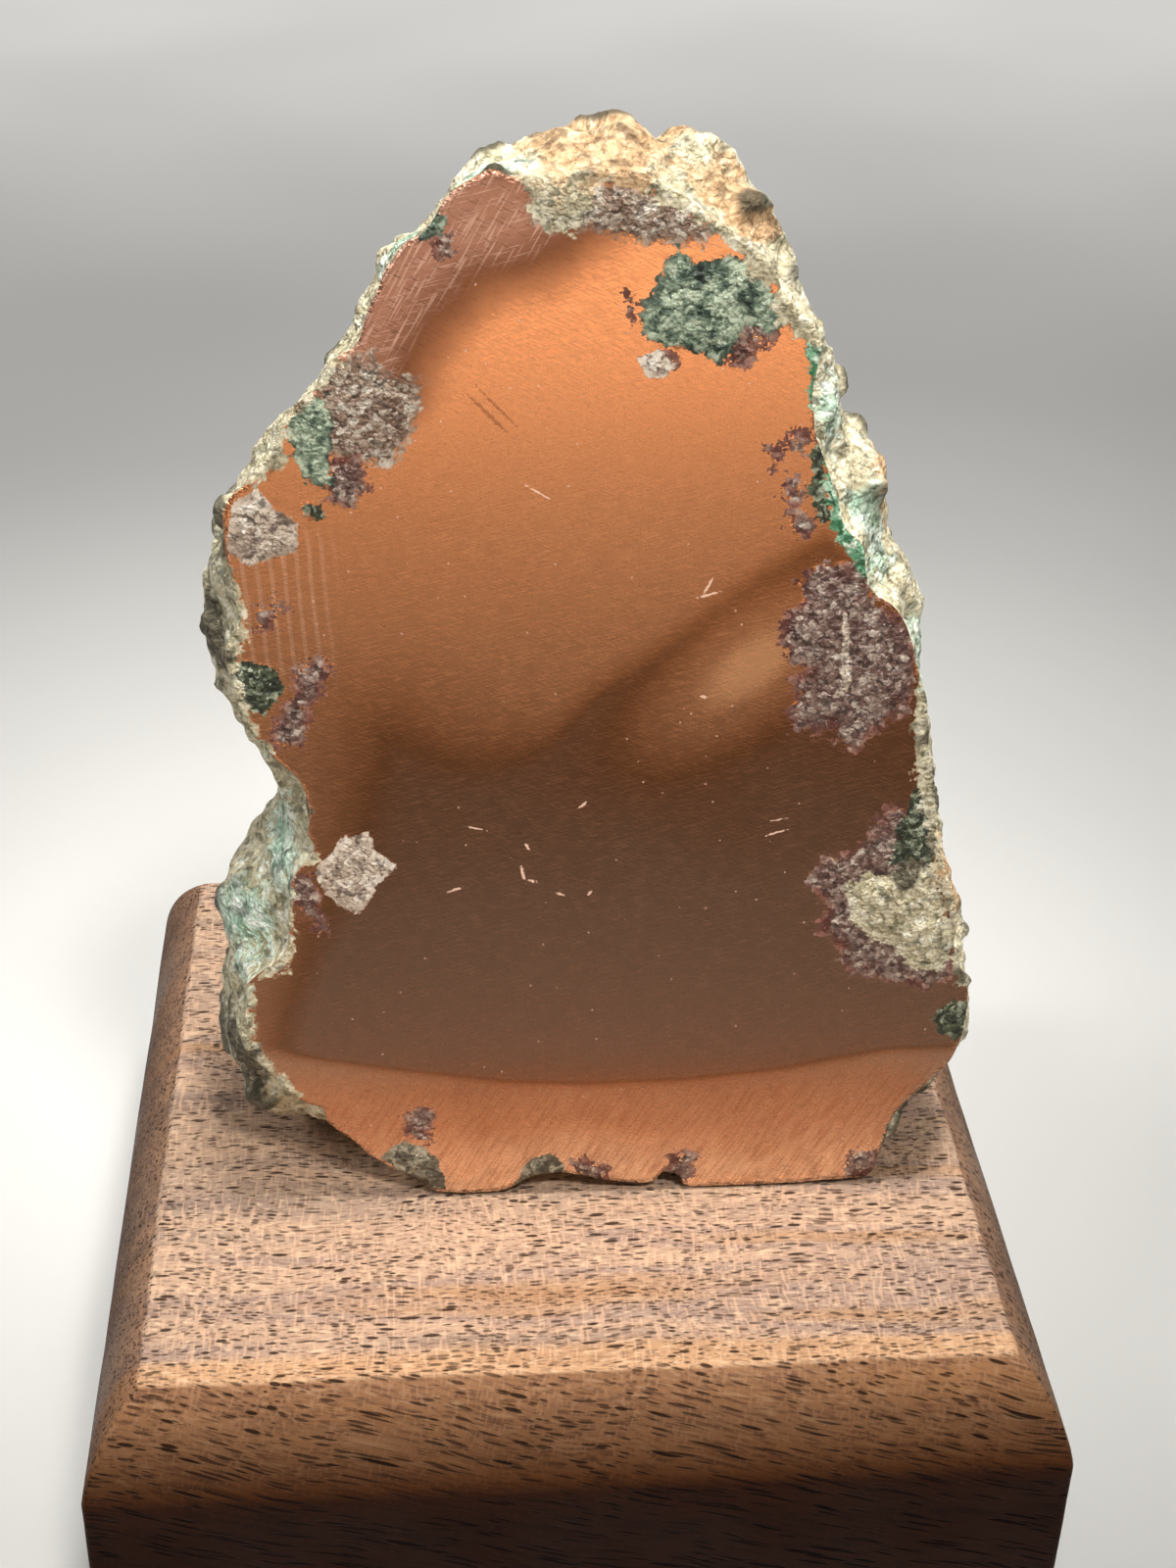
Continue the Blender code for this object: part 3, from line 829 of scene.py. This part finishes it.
# The tones of the minerals and of the crust's stains: the dark of the cracks, then the darkest crystals
# to the palest.
TONES = {
    "cuprite": [(46, 27, 22), (84, 55, 47), (116, 88, 78), (146, 122, 110), (194, 176, 160)],
    "dark_malachite": [(14, 18, 14), (26, 32, 22), (52, 60, 40), (92, 100, 76), (182, 186, 162)],
    "verdigris": [(26, 62, 40), (40, 96, 58), (96, 156, 116), (164, 204, 172), (226, 238, 216)],
    "quartz": [(84, 68, 56), (158, 138, 120), (198, 178, 158), (220, 203, 184), (240, 231, 216)],
    "mauve": [(74, 56, 44), (118, 90, 72), (150, 124, 104), (176, 156, 136), (216, 206, 190)],
    "rock": [(30, 28, 22), (70, 64, 50), (106, 98, 80), (134, 126, 106), (182, 174, 152)],
    "cream": [(78, 78, 54), (146, 136, 106), (200, 188, 154), (226, 216, 184), (246, 241, 222)],
    "iron": [(84, 60, 38), (142, 108, 74), (196, 160, 118), (218, 184, 142), (240, 220, 184)],
    "mint": [(40, 58, 48), (104, 154, 132), (162, 208, 184), (210, 234, 219), (246, 251, 243)],
    "oxide": [(14, 15, 12), (34, 34, 26), (68, 62, 48), (104, 94, 74), (180, 172, 146)],
}


def sanded_copper(stone, place, grain_fine, grain_wide):
    """Satin copper: its colour, its roughness, how bare the metal is, and the height of its scratches.

    The metal is palest along the foot, a painted reflection of the block's top, and browner over the lower
    middle, partly patina and partly painted shade for the dark that the face mirrors, with a painted
    highlight under the brown's upper right edge. It is dull and cross-hatched on the upper left shoulder,
    with a band of painted shade along the shoulder's inner edge. The saw's own lines are left near the left
    edge.
    """
    across, up = stone.axis(place, 0), stone.axis(place, 1)
    clouds = stone.noise(stone.turned(place, (0, 0, -35), (26, 11, 20)), detail=1, rough=0.5)
    level = stone.times_plus(clouds, 0.08, stone.times(up, 0.01))
    # Painted reflection: by height, the metal is palest along the foot, where the face mirrors the block's
    # top.
    copper = stone.ramp(
        level,
        (0.06, (250, 214, 184)),
        (0.10, (222, 174, 142)),
        (0.15, (204, 154, 122)),
        (0.48, (220, 152, 108)),
        (0.68, (226, 156, 110)),
    )
    # Partly patina and partly painted shade: the brown over the lower middle stands in for the dark that the
    # face mirrors.
    toned = stone.times_plus(stone.sum("SUBTRACT", clouds, 0.5), 0.15, stone.attribute("toned"))
    brown = stone.ramp(
        toned,
        (0.45, (162, 99, 54)),
        (0.68, (134, 84, 50)),
        (0.86, (160, 120, 96)),
    )
    copper = stone.blend(stone.step(toned, 0.0, 1.0), copper, brown)
    # Painted highlight: paler and less metallic where the toning reads below 0.
    painted_highlight_share = stone.step(toned, 0.10, -0.50, 0.0, 0.4)
    copper = stone.blend(painted_highlight_share, copper, (228, 174, 118))

    felt = stone.noise(stone.turned(place, (0, 0, -26), (1.1, 0.12, 1)), detail=1, rough=0.6)
    crossed = stone.noise(stone.turned(place, (0, 0, 14), (1.8, 0.11, 1)), detail=1, rough=0.6)
    steep = stone.noise(stone.turned(place, (0, 0, 60), (3.2, 0.2, 1)), detail=1)
    copper = stone.blend(stone.step(felt, 0.45, 0.75, 0.0, 0.09), copper, (166, 100, 70))
    copper = stone.blend(stone.step(crossed, 0.55, 0.75, 0.0, 0.07), copper, (240, 184, 150))
    copper = stone.blend(stone.step(grain_fine, 0.5, 0.75, 0.0, 0.2), copper, (150, 92, 66))
    foot = stone.times(stone.step(up, 13.0, 9.0), stone.step(steep, 0.45, 0.62, 0.0, 0.5))
    copper = stone.blend(foot, copper, (184, 124, 92))

    # The shoulder's colour: pinkish brown patina towards the rim, and a dark band of painted shade along its
    # inner edge.
    shoulder = stone.times_plus(grain_wide, 2.4, stone.attribute("tarnish_and_shade"))
    dull = stone.step(shoulder, -1.6, 3.0)
    shade = stone.times(shoulder, 0.14)
    shade = stone.ramp(shade, (0.30, (128, 80, 58)), (0.72, (196, 146, 124)))
    copper = stone.blend(stone.times(dull, 0.85), copper, shade)
    hatch = stone.most(stone.step(steep, 0.54, 0.68), stone.step(crossed, 0.56, 0.70))
    hatch = stone.times(hatch, stone.step(shoulder, 1.6, 4.0, 0.0, 0.6))
    copper = stone.blend(hatch, copper, (238, 192, 168))
    dents = stone.times(stone.step(felt, 0.60, 0.72), stone.step(shoulder, 0.6, 3.0, 0.0, 0.6))
    copper = stone.blend(dents, copper, (110, 68, 50))

    sawn = stone.times(stone.step(across, -16.5, -19.0), stone.step(up, 45.0, 49.0))
    sawn = stone.times(sawn, stone.step(up, 59.5, 57.0))
    bend = stone.times_plus(up, 0.07, stone.times(grain_wide, 0.5))
    saw_lines = stone.sum("SINE", stone.times(stone.sum("ADD", across, bend), 2 * math.pi / SAW_PITCH))
    saw_lines = stone.times(stone.step(saw_lines, 0.2, 0.9), sawn)
    copper = stone.blend(stone.times(saw_lines, 0.6), copper, (246, 192, 158))

    def nearest(marks):
        """How far a point is from the middle of the nearest mark, measured in that mark's own half-sizes."""
        gap = 9.0
        for from_x, from_y, to_x, to_y, width in marks:
            length = math.hypot(to_x - from_x, to_y - from_y) / 2 + width
            frame = {
                "Vector": place,
                "Location": ((from_x + to_x) / 2, (from_y + to_y) / 2, 0),
                "Rotation": (0, 0, math.atan2(to_y - from_y, to_x - from_x)),
                "Scale": (length, width, 1),
            }
            frame = stone.add("Mapping", frame, vector_type="TEXTURE")
            reach = stone.add("VectorMath", {0: frame}, out="Value", operation="LENGTH")
            gap = stone.sum("MINIMUM", gap, reach)
        return stone.times_plus(grain_fine, 3.2, gap)

    flecks = stone.step(stone.cells(place, 1.6), 0.07, 0.04, 0.0, 0.7)
    nicks = stone.most(stone.step(nearest(NICKS), 2.75, 2.4), flecks)
    copper = stone.blend(nicks, copper, (250, 208, 184))
    copper = stone.blend(stone.step(nearest(SCORES), 2.8, 2.3, 0.0, 0.55), copper, (136, 84, 58))

    rough = stone.step(stone.sum("ADD", felt, crossed), 0.8, 1.2, 0.21, 0.29)
    rough = stone.times_plus(dull, 0.22, rough)
    rough = stone.times_plus(nicks, 0.25, rough)
    # Nicks and hatching are matte marks; the painted highlight is made less metallic too.
    matte_marks_and_highlight = stone.most(stone.times(nicks, 0.8), stone.most(hatch, painted_highlight_share))
    bright = stone.sum("SUBTRACT", 1.0, matte_marks_and_highlight)
    return copper, rough, bright, stone.times_plus(felt, 0.6, stone.times(grain_fine, 0.4))


def nugget_finish():
    """Sanded copper on the face, the minerals cut flush in it, and the crust over everything else.

    Two sizes of crooked crystals, each with a tone of its own and cracks between them, are shared by all
    the minerals, which differ in their ramps of colour.
    """
    stone = Recipe("native_copper")
    place = stone.attribute("body_mm", "Vector")
    crooked = stone.pushed(place, 0.6, 0.26)
    grain_fine = stone.noise(place, 0.28, detail=2)
    grain_mid = stone.noise(place, 1.0, detail=2)
    grain_wide = stone.noise(place, 6.0, detail=1)
    mottle = stone.noise(crooked, 0.6, detail=2, rough=0.7)
    cloud = stone.noise(crooked, 1.9, detail=2, rough=0.65)

    def crystals(size):
        cells = stone.cells(crooked, size)
        tone = stone.axis(cells.node.outputs["Color"], 0)
        cracks = stone.times(stone.step(cells, 0.48, 0.74), stone.step(grain_mid, 0.62, 0.44))
        soft = stone.times_plus(mottle, 0.45, stone.times(cloud, 0.30))
        tone = stone.times_plus(tone, 0.25, soft)
        return tone, cracks

    small, small_cracks = crystals(0.5)
    large, large_cracks = crystals(1.05)

    def ragged(name, wide, fine, soft=0.06):
        """A patch's inside, its edge broken up by noise."""
        edge = stone.times_plus(grain_mid, wide, stone.attribute(name))
        edge = stone.times_plus(grain_fine, fine, edge)
        return stone.step(edge, (wide + fine) / 2 - soft, (wide + fine) / 2 + soft)

    def mineral(name, value=small, cracks=small_cracks):
        """A ramp of the mineral's four tones over the crystals, and its dark in the cracks."""
        dark, *tones = TONES[name]
        colour = stone.ramp(value, *zip((0.34, 0.45, 0.54, 0.66), tones))
        return stone.blend(stone.times(cracks, 0.8), colour, dark)

    cuprite = mineral("cuprite")
    rim = stone.step(stone.times_plus(cloud, 4.0, stone.attribute("cuprite")), 2.9, 1.8, 0.0, 0.7)
    red = stone.ramp(small, (0.38, (84, 36, 28)), (0.62, (148, 78, 58)))
    cuprite = stone.blend(rim, cuprite, red)
    malachite = stone.ramp(
        stone.times_plus(small, 0.55, stone.times(cloud, 0.45)),
        (0.36, (22, 30, 25)),
        (0.42, (68, 86, 71)),
        (0.49, (118, 135, 112)),
        (0.58, (190, 202, 174)),
    )
    # Painted shadow: the malachite darkens along its edges, for the shadow of the copper lip over the hollow
    # patch.
    rim = stone.step(stone.times_plus(cloud, 1.2, stone.attribute("malachite")), 1.0, 0.5, 0.0, 0.75)
    malachite = stone.blend(rim, malachite, (18, 24, 21))
    olive = mineral("dark_malachite")
    verdigris = mineral("verdigris")
    quartz = mineral("quartz", large)
    mauve = mineral("mauve")
    rock = mineral("rock", large)

    # The crust: cream grains, mint and iron stains, black oxide, and darker in the hollows
    height = stone.attribute("height")
    grain = stone.times_plus(large, 0.5, stone.times(small, 0.5))
    both = stone.most(large_cracks, stone.times(small_cracks, 0.5))
    both = stone.times(both, 0.8)
    crust, iron, mint, oxide = (mineral(name, grain, both) for name in ("cream", "iron", "mint", "oxide"))
    stain = stone.times_plus(grain_wide, 0.7, stone.attribute("iron"))
    stain = stone.step(stone.times_plus(grain_mid, 0.5, stain), 0.80, 1.02)
    crust = stone.blend(stain, crust, iron)
    green = stone.times_plus(grain_wide, 0.6, stone.attribute("mint"))
    green = stone.step(stone.times_plus(small, 2.0, green), 1.60, 2.10, 0.0, 0.75)
    crust = stone.blend(green, crust, mint)
    black = stone.times_plus(stone.attribute("dark"), 0.4, stone.noise(place, 9.0, detail=1))
    black = stone.times_plus(stone.attribute("iron"), -0.3, black)
    black = stone.step(stone.times_plus(grain_mid, 0.3, black), 0.76, 0.84)
    crust = stone.blend(stone.times(black, 0.9), crust, oxide)
    specks = stone.times_plus(grain_fine, 0.5, stone.noise(place, 1.3, detail=1))
    crust = stone.blend(stone.step(specks, 0.88, 0.97, 0.0, 0.6), crust, (58, 64, 46))
    # Darker where the crust's surface sinks.
    crust = stone.blend(stone.step(height, 0.44, 0.14, 0.0, 0.85), crust, (66, 62, 46))

    bare = stone.step(stone.times_plus(grain_mid, 0.5, stone.attribute("bulge")), 0.92, 1.02)
    bare = stone.times(bare, stone.times(stone.step(height, 0.4, 0.6), black))

    colour, rough, bright, scratch = sanded_copper(stone, place, grain_fine, grain_wide)
    shown = [
        ("mauve", mauve, 0.5, (2.4, 1.6, 0.35)),
        ("cuprite", cuprite, 0.36, (3.0, 1.8, 0.08)),
        ("malachite", malachite, 0.5, (1.8, 0.9, 0.06)),
        ("dark_malachite", olive, 0.4, (1.6, 0.8, 0.06)),
        ("verdigris", verdigris, 0.6, (1.6, 1.0, 0.1)),
        ("quartz", quartz, 0.35, (0.6, 0.5, 0.08)),
        ("rock", rock, 0.5, (1.0, 0.6, 0.06)),
    ]
    stony = 0.0
    for name, tone, gloss, edge in shown:
        share = ragged(name, *edge)
        colour = stone.blend(share, colour, tone)
        rough = stone.add("Mix", {0: share, 2: rough, 3: gloss})
        stony = stone.most(stony, share)
    skin = stone.step(stone.attribute("skin"), 0.02, 0.25)
    over = stone.most(ragged("face_crust", 2.0, 1.2, 0.12), skin)
    colour = stone.blend(over, colour, crust)
    rough = stone.add("Mix", {0: over, 2: rough, 3: 0.82})
    stony = stone.most(stony, over)
    bare = stone.times(bare, over)
    colour = stone.blend(bare, colour, (178, 112, 78))
    rough = stone.add("Mix", {0: bare, 2: rough, 3: 0.42})
    metal = stone.times(bright, stone.sum("SUBTRACT", 1.0, stone.sum("SUBTRACT", stony, bare)))

    stony = stone.attribute("stony")
    sanded = stone.times(scratch, stone.sum("SUBTRACT", 1.0, stony))
    grainy = stone.times_plus(stone.cells(place, 0.62), -0.7, stone.noise(place, 0.3, detail=1))
    bump = stone.relief(stone.times(grainy, stony), 0.28, stone.relief(sanded, 0.0026))
    return stone.finish(Base_Color=colour, Roughness=rough, Metallic=metal, Normal=bump)


nugget.data.materials.append(nugget_finish())
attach(nugget, "root")
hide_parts("copper_nugget")


# The table, the studio light and the camera. The camera is where the photograph was taken from, solved
# from the block's edges: a short tele lens looking down and slightly to the right.
TABLE_REACH = 20.0
CAMERA_PLACE = (-0.0112, -0.1583, 0.1544)
CAMERA_DOWN = 31.67
CAMERA_RIGHT = 4.77
CAMERA_ROLL = 1.44
LENS = 52.9

corners = TABLE_REACH * 1000 * np.array([[-1, -1, 0], [1, -1, 0], [1, 1, 0], [-1, 1, 0]])
table = mesh_piece("table", corners, np.array([[0, 1, 2, 3]]))
paper = Recipe("pale_paper")
paper_place = paper.place_mm()
paper_tone = paper.noise(paper_place, 60.0, detail=0)
paper_tone = paper.ramp(paper_tone, (0.3, (188, 187, 184)), (0.7, (193, 192, 189)))
paper_reach = paper.add("VectorMath", {0: paper_place}, out="Value", operation="LENGTH")
paper_tone = paper.blend(paper.step(paper_reach, 700.0, 3500.0), paper_tone, (246, 247, 249))
table.data.materials.append(paper.finish(Base_Color=paper_tone, Roughness=0.9))


def soft_light(name, place, aim, size, power, colour=(1, 1, 1), spread=180):
    """A rectangular soft light at a place, turned to face another, hidden from the camera."""
    light = bpy.data.lights.new(name, "AREA")
    light.shape = "RECTANGLE"
    light.size, light.size_y = size
    light.energy = power
    light.color = colour
    light.spread = math.radians(spread)
    lamp = bpy.data.objects.new(name, light)
    bpy.context.scene.collection.objects.link(lamp)
    away = np.array(place) - np.array(aim)
    away /= np.linalg.norm(away)
    side = np.cross((0, 1, 0) if abs(away[2]) > 0.9 else (0, 0, 1), away)
    side /= np.linalg.norm(side)
    turn = np.stack([side, np.cross(away, side), away], 1)
    lamp.matrix_world = Matrix.Translation(place) @ Matrix(turn.tolist()).to_4x4()
    lamp.visible_camera = False


soft_light("overhead", (0.08, 0.05, 0.80), (0.0, 0.040, 0.0), (0.18, 0.18), 0.19, (1, 0.98, 0.95), 24)
soft_light("left_fill", (-0.38, -0.06, 0.42), (0.0, 0.01, 0.06), (0.2, 0.2), 0.050, (1, 0.98, 0.96), 28)
soft_light("table_wash", (0.0, 0.65, 0.80), (0.0, 0.60, 0.0), (1.4, 0.5), 3.5, (1, 0.98, 0.96), 75)
soft_light("face_light", (0.12, -0.30, 0.50), (0.0, -0.01, 0.078), (0.10, 0.10), 0.03, (1, 0.98, 0.95), 14)
soft_light("floor_glow", (-0.02, -0.30, 0.40), (-0.01, -0.275, 0.0), (0.14, 0.05), 0.029, (1, 0.88, 0.74), 18)
soft_light("low_front", (0.03, -0.42, 0.045), (0.0, -0.01, 0.10), (0.5, 0.09), 0.114, (1, 0.80, 0.62), 120)

world = bpy.data.worlds.new("studio")
bpy.context.scene.world = world
world.use_nodes = True
world.node_tree.nodes["Background"].inputs["Color"].default_value = (0.92, 0.96, 1.0, 1)
world.node_tree.nodes["Background"].inputs["Strength"].default_value = 0.20

lens = bpy.data.cameras.new("camera")
lens.sensor_width = 36.0
lens.lens = LENS
lens.clip_start = 0.01
camera = bpy.data.objects.new("camera", lens)
bpy.context.scene.collection.objects.link(camera)
turn = Matrix.Rotation(math.radians(-CAMERA_RIGHT), 4, "Z")
turn @= Matrix.Rotation(math.radians(90 - CAMERA_DOWN), 4, "X")
turn @= Matrix.Rotation(math.radians(CAMERA_ROLL), 4, "Z")
camera.matrix_world = Matrix.Translation(CAMERA_PLACE) @ turn
bpy.context.scene.camera = camera
bpy.context.scene.view_settings.view_transform = "Standard"
